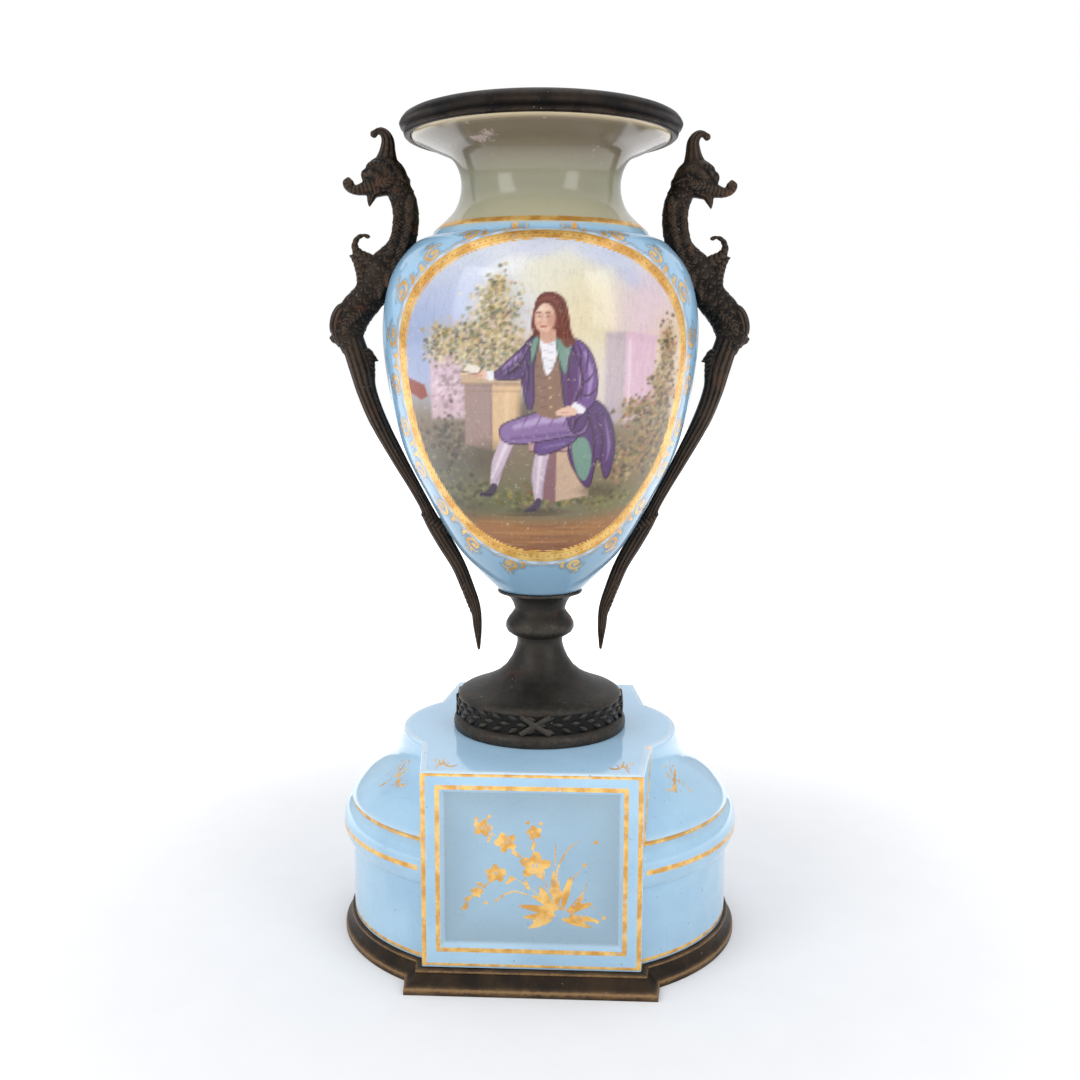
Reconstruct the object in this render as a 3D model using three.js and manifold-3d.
// Mantel urn: a hollow porcelain vase in cast bronze mounts (foot, rim and two dragon
// handles) on a porcelain plinth with oval lobes and a bronze base moulding.
// Millimetres, +Z up, origin on the ground under the middle of the plinth, -Y is the front.
import * as THREE from 'three';
import { mergeVertices } from 'three/addons/utils/BufferGeometryUtils.js';
import Module from 'manifold-3d';

const wasm = await Module();
wasm.setup();

// ---------- driving dimensions ----------
const gap = 0.3; // clearance between pieces that touch
const totalHeight = 480;
const urnTurn = THREE.MathUtils.degToRad(4.5); // the urn sits slightly turned on its plinth

const plinth = {
  bottom: 12.3,
  top: 124,
  wall: 7,
  lobeHalfWidth: 114.3, // left and right lobes at the vertical wall
  lobeDepthRatio: 0.86, // front-to-back half size over the left-to-right one
  torusBulge: 5.4,
  blockHalfWidth: 60.5, // at the front and rear faces
  blockFace: 92, // distance of those faces from the axis
  blockSplay: 0.11, // the block's sides widen towards the lobes
  edgeChamfer: 1.2,
};
const panel = { halfWidth: 49.6, low: 24, high: 114, bevel: 2.6, depth: 2.6 };

const moulding = {
  height: plinth.bottom - gap,
  lobeProjection: 5.6,
  lobeDepthProjection: 8,
  blockProjection: 8.9,
  wallInset: 12, // how far the frame's inner edge stands inside the plinth's wall
};

const foot = { bottom: plinth.top + gap, top: 208, discRadius: 25.4 };
const wreath = { low: 130, high: 145.6, radius: 50.6, leavesPerQuarter: 4, relief: 1.4 };

const vase = {
  bottom: foot.top + gap,
  baseRadius: 25.2,
  belly: 91.2,
  bellyHeight: 360,
  collarRadius: 61.4,
  collarHeight: 415.6,
  neckRadius: 45.6,
  neckHeight: 443,
  lipRadius: 73.8,
  lipHeight: 471,
  wall: 5,
};
const rim = { radius: 80.4, innerRadius: 66.2, leafBandHeight: 475, leaves: 20, relief: 0.8 };

const segments = { vase: 28, foot: 32, rim: 40, lobe: 32, cavity: 18 };
const outlineSteps = { body: 10, neck: 8, hollowBody: 5, hollowNeck: 4 };

// ---------- materials ----------
const bluePorcelain = new THREE.MeshStandardMaterial({
  color: 0x9fc6df, roughness: 0.16, metalness: 0,
});
const darkBronze = new THREE.MeshStandardMaterial({
  color: 0x39322c, roughness: 0.5, metalness: 0.75,
});
const brownBronze = new THREE.MeshStandardMaterial({
  color: 0x4d4033, roughness: 0.46, metalness: 0.75,
});

// ---------- solids from geometries ----------
// A geometry's triangles with shared corners merged and slivers dropped.
function toSolid(geometry) {
  const bare = geometry.clone();
  for (const name of Object.keys(bare.attributes)) {
    if (name !== 'position') bare.deleteAttribute(name);
  }
  const merged = mergeVertices(bare, 1e-4);
  const corners = merged.index.array;
  const kept = [];
  for (let i = 0; i < corners.length; i += 3) {
    const [a, b, c] = [corners[i], corners[i + 1], corners[i + 2]];
    if (a !== b && b !== c && c !== a) kept.push(a, b, c);
  }
  const solid = new wasm.Manifold(new wasm.Mesh({
    numProp: 3,
    vertProperties: new Float32Array(merged.attributes.position.array),
    triVerts: new Uint32Array(kept),
  }));
  if (solid.volume() > 0) return solid;
  for (let i = 0; i < kept.length; i += 3) [kept[i], kept[i + 1]] = [kept[i + 1], kept[i]];
  return new wasm.Manifold(new wasm.Mesh({
    numProp: 3,
    vertProperties: new Float32Array(merged.attributes.position.array),
    triVerts: new Uint32Array(kept),
  }));
}

function toGeometry(solid) {
  const mesh = solid.getMesh();
  const geometry = new THREE.BufferGeometry();
  const points = new Float32Array(mesh.numVert * 3);
  for (let i = 0; i < mesh.numVert; i += 1) {
    for (let k = 0; k < 3; k += 1) points[i * 3 + k] = mesh.vertProperties[i * mesh.numProp + k];
  }
  geometry.setAttribute('position', new THREE.BufferAttribute(points, 3));
  geometry.setIndex(new THREE.BufferAttribute(new Uint32Array(mesh.triVerts), 1));
  geometry.computeVertexNormals();
  return geometry;
}

const join = (solids) => solids.reduce((whole, solid) => whole.add(solid));

// A closed skin over a row of rings, each an array of Vector3 with the same count.
function loft(rings) {
  const count = rings[0].length;
  const points = rings.flat();
  const middle = (ring) => ring.reduce((sum, p) => sum.add(p), new THREE.Vector3())
    .divideScalar(count);
  points.push(middle(rings[0]), middle(rings[rings.length - 1]));
  const firstCentre = points.length - 2;
  const lastCentre = points.length - 1;
  const lastRing = (rings.length - 1) * count;
  const index = [];
  for (let i = 0; i < count; i += 1) {
    const next = (i + 1) % count;
    for (let row = 0; row < rings.length - 1; row += 1) {
      const low = row * count;
      const high = low + count;
      index.push(low + i, low + next, high + next, low + i, high + next, high + i);
    }
    index.push(firstCentre, next, i, lastCentre, lastRing + i, lastRing + next);
  }
  const geometry = new THREE.BufferGeometry().setFromPoints(points);
  geometry.setIndex(index);
  return toSolid(geometry);
}

// A turned solid from a profile of [radius, height] pairs that starts and ends on the axis
// or closes on itself. LatheGeometry turns about Y, so the result is laid over to +Z.
function turned(profile, count) {
  const points = profile.map(([radius, height]) => new THREE.Vector2(radius, height));
  return new THREE.LatheGeometry(points, count).rotateX(Math.PI / 2);
}

// Points along a smooth curve through [x, y] knots.
function smooth(knots, steps) {
  const curve = new THREE.SplineCurve(knots.map(([x, y]) => new THREE.Vector2(x, y)));
  return curve.getPoints(steps).map((p) => [p.x, p.y]);
}

// ---------- vase ----------
const bodyKnots = [
  [vase.baseRadius, vase.bottom], [47.5, 231.8], [65.4, 262.3], [82, 298.6],
  [vase.belly, vase.bellyHeight - 8], [87.2, 387.5], [74, 407.4],
  [vase.collarRadius + 1.2, vase.collarHeight - 3.2],
];
const neckKnots = [
  [vase.collarRadius, vase.collarHeight], [49.2, 428], [vase.neckRadius, vase.neckHeight],
  [50.5, 456.4], [62.4, 462.8], [vase.lipRadius - 0.6, vase.lipHeight - 3.6],
];

// Each point moved inwards, square to the line between its neighbours.
function inset(points, distance) {
  return points.map((point, i) => {
    const before = points[Math.max(i - 1, 0)];
    const after = points[Math.min(i + 1, points.length - 1)];
    const along = [after[0] - before[0], after[1] - before[1]];
    const length = Math.hypot(...along);
    return [point[0] - (along[1] / length) * distance, point[1] + (along[0] / length) * distance];
  });
}

function vaseOutline(bodySteps, neckSteps) {
  return [
    ...smooth(bodyKnots, bodySteps),
    ...smooth(neckKnots, neckSteps),
    [vase.lipRadius, vase.lipHeight - 1.6],
    [vase.lipRadius - 0.6, vase.lipHeight],
  ];
}

function vaseGeometry() {
  const { body, neck, hollowBody, hollowNeck } = outlineSteps;
  const hollow = inset(vaseOutline(hollowBody, hollowNeck), vase.wall).slice(1, -2).reverse();
  const floorHeight = vase.bottom + vase.wall;
  return turned([
    [0, vase.bottom],
    ...vaseOutline(body, neck),
    [vase.lipRadius - 5.6, vase.lipHeight],
    ...hollow,
    [vase.baseRadius, floorHeight + 1.6],
    [0, floorHeight],
  ], segments.vase);
}

// The vase's outside, grown by the clearance, for cutting back what lies against it.
function vaseClearance() {
  const { body, neck } = outlineSteps;
  const grown = vaseOutline(body, neck).map(([radius, height]) => [radius + gap, height]);
  return toSolid(turned([
    [0, vase.bottom - gap], ...grown, [0, vase.lipHeight],
  ], segments.vase));
}

// ---------- rim ring ----------
// Shallow leaf tongues round the outer edge of the rim.
function rimGeometry() {
  const band = rim.leafBandHeight;
  const profile = [
    [rim.innerRadius, vase.lipHeight + gap], [rim.innerRadius + 1.4, totalHeight],
    [rim.radius - 6.4, totalHeight],
    [rim.radius - 1.6, band + 2.6], [rim.radius, band - 0.6], [rim.radius - 2.8, band - 3],
    [rim.radius - 2.4, band - 5.4], [rim.radius - 4.6, band - 7.4],
    [vase.lipRadius + gap, band - 6.6], [vase.lipRadius + gap, vase.lipHeight + gap],
    [rim.innerRadius, vase.lipHeight + gap],
  ].reverse();
  const geometry = turned(profile, segments.rim);
  const place = geometry.attributes.position;
  for (let i = 0; i < place.count; i += 1) {
    const [x, y, z] = [place.getX(i), place.getY(i), place.getZ(i)];
    const radius = Math.hypot(x, y);
    if (radius < rim.radius - 2 || z < band - 1) continue;
    const leaf = Math.cos((rim.leaves / 2) * Math.atan2(y, x)) ** 2;
    const scale = 1 - (rim.relief * leaf) / radius;
    place.setXY(i, x * scale, y * scale);
  }
  return geometry;
}

// ---------- foot ----------
// Laurel leaves that lean from the drum's front and rear towards its sides.
function laurel(angle, height) {
  const across = (height - wreath.low) / (wreath.high - wreath.low);
  if (across < 0 || across > 1) return 0;
  const side = Math.abs(Math.asin(Math.sin(angle))); // 0 at the sides, 90 degrees at the front
  const lean = side * 2 * wreath.leavesPerQuarter - across * 1.6;
  return Math.sin(Math.PI * across) * Math.cos(lean) ** 2;
}

function footGeometry() {
  const { discRadius, top, bottom } = foot;
  const drum = wreath.radius;
  const trumpet = smooth([
    [13.6, 178.8], [14.7, 171.4], [20.7, 160.4], [32.6, 152.2], [46.4, wreath.high],
  ], 5);
  const profile = [
    [0, top], [discRadius, top], [discRadius, top - 1.8], [18.2, top - 5],
    [15.3, 196.6], ...smooth([[16.8, 193.4], [20.8, 187], [17.6, 180.6]], 3),
    ...trumpet,
    [drum - 1.2, wreath.high - 3.4], [drum, wreath.high - 8],
    [drum, wreath.low + 3.8], [drum - 0.8, wreath.low], [drum + 1.5, wreath.low - 1.8],
    [drum + 1.3, bottom], [0, bottom],
  ].reverse();
  const geometry = turned(profile, segments.foot);
  const place = geometry.attributes.position;
  for (let i = 0; i < place.count; i += 1) {
    const [x, y, z] = [place.getX(i), place.getY(i), place.getZ(i)];
    const radius = Math.hypot(x, y);
    if (radius < drum - 2) continue;
    const scale = 1 + (wreath.relief * laurel(Math.atan2(y, x), z)) / radius;
    place.setXY(i, x * scale, y * scale);
  }
  return geometry;
}

// ---------- handles ----------
// Each handle lies in one upright plane: u runs out from the vase's axis, z up and y across.
// A limb is a row of stations [u, z, half width, half depth, y] with a smooth skin over them.
function limb(stations, sides, steps) {
  const centres = new THREE.CatmullRomCurve3(
    stations.map(([u, z, , , y = 0]) => new THREE.Vector3(u, y, z)),
  );
  const sizes = new THREE.SplineCurve(stations.map(([, , w, d]) => new THREE.Vector2(w, d)));
  const across = new THREE.Vector3(0, 1, 0);
  const rings = [];
  for (let step = 0; step <= steps; step += 1) {
    const t = step / steps;
    const centre = centres.getPoint(t);
    const size = sizes.getPoint(t);
    const outward = new THREE.Vector3().crossVectors(across, centres.getTangent(t)).normalize();
    const ring = [];
    for (let i = 0; i < sides; i += 1) {
      const angle = ((i + 0.5) / sides) * Math.PI * 2;
      ring.push(centre.clone()
        .addScaledVector(outward, Math.max(size.x, 0.3) * Math.cos(angle))
        .addScaledVector(across, Math.max(size.y, 0.3) * Math.sin(angle)));
    }
    rings.push(ring);
  }
  return loft(rings);
}

// The two limbs of a pair, one on each face of the handle.
const pair = (stations, sides, steps) => [1, -1].map((side) => limb(
  stations.map(([u, z, w, d, y]) => [u, z, w, d, y * side]),
  sides,
  steps,
));

function dragonHead() {
  return [
    limb([[80, 443, 6, 5.6], [86, 447.5, 9.4, 7], [93, 448, 9.6, 7], [98.6, 446.6, 5, 4.6]], 6, 3),
    // snout that ends in an upturned curl
    limb([[90, 443, 7, 5.6], [98, 440.8, 5, 4.6], [105, 439.2, 3.2, 3.4], [110.4, 440.6, 2.4, 2.6],
      [111.6, 444.2, 2, 2.4], [109.2, 445.8, 1.2, 1.6]], 5, 7),
    // lower jaw with a pointed beard
    limb([[90, 440, 4.6, 4.6], [96.4, 437.4, 3.4, 3.4], [98.3, 430, 0.5, 0.5]], 4, 3),
    // crest swept up from the back of the skull
    limb([[88.5, 452, 8.4, 5], [87.4, 460, 4.9, 3.4], [87.2, 467, 3.9, 2.6], [89.6, 471.2, 2.8, 2],
      [93, 471.9, 1.8, 1.6], [95.6, 469.8, 0.9, 0.9]], 5, 4),
    // brows and ears
    ...pair([[90, 454, 2, 1.6, 4.8], [98.6, 454.4, 2.6, 2.2, 3], [101.2, 450.4, 1, 1, 1.6]], 4, 2),
    ...pair([[93, 444, 2.8, 1.6, 5.4], [85, 444.4, 3.2, 2, 6.4], [80.6, 454, 0.6, 0.6, 6]], 4, 2),
  ];
}

function dragonBody() {
  const trunk = [
    [84, 445, 7, 6.2], [78.6, 433, 7.6, 6.5], [77.6, 421, 7.7, 6.4], [81, 407, 8, 6.6],
    [91.4, 394, 10.4, 7.6], [98.4, 381, 9.8, 7.6], [107.6, 370, 10.4, 8.4],
    [112.4, 358.6, 9.9, 8.4], [110.8, 351, 6.4, 6.2],
  ];
  const feathers = [];
  const featherCount = 3;
  for (let i = 0; i < featherCount; i += 1) {
    const along = i / (featherCount - 1);
    const u = 78 + 17 * along ** 2;
    const z = 431 - 42 * along;
    feathers.push(...pair([
      [u, z + 7, 0.8, 0.8, 5.2], [u + 0.6, z - 1, 3.2, 1.8, 6.2], [u + 1.6, z - 10, 0.6, 0.6, 6.4],
    ], 4, 2));
  }
  return [
    limb(trunk, 7, 10),
    ...feathers,
    // wing: a web that rises off the back into an open curl
    limb([[93, 396, 5, 4.4], [99.6, 400.6, 4.2, 4], [104.6, 403.6, 3.4, 3.2], [107, 408, 2, 2.6],
      [105.4, 412.4, 1.5, 2], [102, 414, 1.1, 1.4], [98.4, 413.4, 0.5, 0.8]], 5, 7),
    limb([[102.6, 379, 4.4, 5], [102.4, 390, 4, 4.6], [105.4, 399, 2.8, 3],
      [110.2, 403.2, 0.5, 0.5]], 5, 3),
    // mask: swelling brow, cheeks and a curled tuft under the chin
    limb([[107, 376, 3, 4], [114.6, 371, 5, 6.6], [118, 363, 5, 7], [116.8, 355, 3.6, 5],
      [114, 350.6, 1.6, 2.4]], 6, 4),
    limb([[115, 358, 3.6, 3.4], [119.6, 355, 2.8, 2.6], [123.2, 355.6, 0.7, 0.7]], 4, 2),
    ...pair([[104, 370, 2.4, 1.8, 6.8], [112, 363, 3, 2, 8], [110.6, 354.4, 1, 1, 6]], 4, 2),
  ];
}

function dragonLeg() {
  const leg = [
    [109.6, 355, 6.8, 6.4], [104.4, 338, 7.2, 6], [101.6, 325, 6, 5.2], [95, 307.6, 5.4, 4.6],
    [83.2, 285, 4.4, 4], [75.2, 270.6, 3.7, 3.6], [68.2, 257.6, 3.5, 3.4], [64.4, 249, 4.7, 4.4],
    [56.8, 236, 5, 4.4], [48.8, 221.8, 4.5, 3.8], [43, 207.2, 4.2, 3.4], [38.8, 196, 3.2, 2.9],
    [37.6, 184, 2.8, 2.6], [36.9, 170, 0.9, 0.9],
  ];
  return [
    limb(leg, 6, 12),
    // acanthus leaf whose tip stands off the top of the leg
    limb([[107, 350.6, 3, 4.4], [101.6, 347, 3.6, 4.8], [94.8, 342.8, 0.6, 0.8]], 5, 3),
    limb([[100.6, 346.6, 3.6, 4.6], [99.4, 338, 3, 3.8], [98, 327, 1, 1.6]], 4, 2),
    // knot that bears on the vase, where the handle is fastened
    limb([[69, 252.4, 2, 3.4], [62.8, 247.6, 4.4, 5], [54, 240.8, 2.2, 2.6]], 5, 3),
        // leaf folded round the lower leg
    limb([[47.6, 218, 2.2, 3.2], [43.4, 206, 3.4, 3.4], [40.6, 192, 0.6, 0.8]], 4, 2),
  ];
}

function handleGeometry() {
  const casting = join([...dragonBody(), ...dragonHead(), ...dragonLeg()]);
  return toGeometry(casting.subtract(vaseClearance()));
}

// ---------- plinth ----------
// A closed oval ring of points.
function oval(halfX, halfY, z, count) {
  const ring = [];
  for (let i = 0; i < count; i += 1) {
    const angle = (i / count) * Math.PI * 2;
    ring.push(new THREE.Vector3(halfX * Math.cos(angle), halfY * Math.sin(angle), z));
  }
  return ring;
}

// Six-sided outline of the two blocks back to back, grown outwards by a margin.
function blockRing(margin, z, chamfer = 0) {
  const face = plinth.blockFace + margin;
  const half = plinth.blockHalfWidth + margin;
  const waist = plinth.blockHalfWidth + plinth.blockSplay * plinth.blockFace + margin;
  const quarter = chamfer > 0
    ? [[waist, 0], [half + plinth.blockSplay * chamfer, face - chamfer], [half - chamfer, face]]
    : [[waist, 0], [half, face]];
  const outline = [
    ...quarter,
    ...quarter.slice(1).reverse().map(([x, y]) => [-x, y]),
    ...quarter.map(([x, y]) => [-x, -y]),
    ...quarter.slice(1).reverse().map(([x, y]) => [x, -y]),
  ];
  return outline.map(([x, y]) => new THREE.Vector3(x, y, z));
}

function lobeProfile() {
  const wall = plinth.lobeHalfWidth;
  const torus = wall + plinth.torusBulge;
  return [
    [wall, plinth.bottom], [wall, 55], [wall + 2.8, 58.4],
    ...smooth([[wall + 4.2, 61.4], [torus, 69], [wall + 2.6, 78.6]], 3),
    [wall - 0.6, 81], [wall + 0.4, 83.4],
    ...smooth([[112.6, 87.2], [104.4, 95.4], [93.4, 103], [86.2, 111.4], [83.4, 120.4]], 5),
    [82, plinth.top - 1.2], [80.8, plinth.top],
  ];
}

// The middle of an oval solid, kept behind the blocks' faces by a margin.
function behindFaces(solid, margin) {
  const depth = (plinth.blockFace - margin) * 2;
  const slab = new THREE.BoxGeometry(400, depth, 400);
  return solid.intersect(toSolid(slab));
}

// Recess in the face of a block: a flat field with a bevelled border.
function panelCutter(side) {
  const ring = (grow, y) => [[-1, -1], [1, -1], [1, 1], [-1, 1]].map(([sx, sz]) => new THREE.Vector3(
    sx * (panel.halfWidth + grow),
    y * side,
    (panel.low + panel.high) / 2 + sz * ((panel.high - panel.low) / 2 + grow),
  ));
  const face = plinth.blockFace;
  return loft([
    ring(-panel.bevel, face - panel.depth), ring(0, face), ring(0, face + 5),
  ]);
}

function plinthGeometry() {
  const { bottom, top, wall, lobeDepthRatio, edgeChamfer } = plinth;
  const lobes = behindFaces(loft(lobeProfile().map(([half, z]) => oval(
    half,
    half * lobeDepthRatio,
    z,
    segments.lobe,
  ))), panel.depth + 0.8);
  const blocks = loft([
    blockRing(0, bottom, edgeChamfer), blockRing(0, top - edgeChamfer, edgeChamfer),
    blockRing(-edgeChamfer, top, edgeChamfer),
  ]);
  const hollow = [
    [plinth.lobeHalfWidth, bottom - 5], [plinth.lobeHalfWidth, 78], [104.4, 88], [84, 106],
    [80, top - wall],
  ];
  const lobeHollow = behindFaces(loft(hollow.map(([half, z]) => oval(
    half - wall,
    half * lobeDepthRatio - wall,
    z,
    segments.cavity,
  ))), wall + panel.depth);
  const blockHollow = loft([
    blockRing(-wall - panel.depth, bottom - 5), blockRing(-wall - panel.depth, top - wall),
  ]);
  return toGeometry(lobes.add(blocks)
    .subtract(lobeHollow.add(blockHollow))
    .subtract(panelCutter(-1))
    .subtract(panelCutter(1)));
}

// ---------- base moulding ----------
// [share of the projection, height]: fillet at the ground, cavetto, bead under the plinth.
const mouldingProfile = [
  [1, 0], [1, 2.8], [0.84, 3.6], [0.5, 6], [0.28, 9.2], [0.34, 10.4],
  [0.16, moulding.height],
];

function mouldingGeometry() {
  const { lobeHalfWidth, lobeDepthRatio } = plinth;
  const lobes = behindFaces(loft(mouldingProfile.map(([share, z]) => oval(
    lobeHalfWidth + moulding.lobeProjection * share,
    lobeHalfWidth * lobeDepthRatio + moulding.lobeDepthProjection * share,
    z,
    segments.lobe,
  ))), 0);
  const blocks = loft(mouldingProfile.map(
    ([share, z]) => blockRing(moulding.blockProjection * share, z),
  ));
  const inside = [-5, moulding.height + 5];
  const lobeOpening = loft(inside.map((z) => oval(
    lobeHalfWidth - moulding.wallInset,
    lobeHalfWidth * lobeDepthRatio - moulding.wallInset,
    z,
    segments.cavity,
  )));
  const blockOpening = loft(inside.map((z) => blockRing(-moulding.wallInset, z)));
  return toGeometry(lobes.add(blocks).subtract(lobeOpening.add(blockOpening)));
}

// ---------- assembly ----------
function piece(name, geometry, material) {
  const mesh = new THREE.Mesh(geometry, material);
  mesh.name = name;
  return mesh;
}

const urn = new THREE.Group();
urn.rotation.z = urnTurn;
urn.add(piece('vase', vaseGeometry(), bluePorcelain));
urn.add(piece('rim_ring', rimGeometry(), darkBronze));
urn.add(piece('foot', footGeometry(), darkBronze));
const handle = handleGeometry();
urn.add(piece('handle_right', handle, darkBronze));
const handleLeft = piece('handle_left', handle.clone(), darkBronze);
handleLeft.rotation.z = Math.PI;
urn.add(handleLeft);

const mantelUrn = new THREE.Group();
mantelUrn.add(urn);
mantelUrn.add(piece('plinth', plinthGeometry(), bluePorcelain));
mantelUrn.add(piece('base_moulding', mouldingGeometry(), brownBronze));

export default mantelUrn;
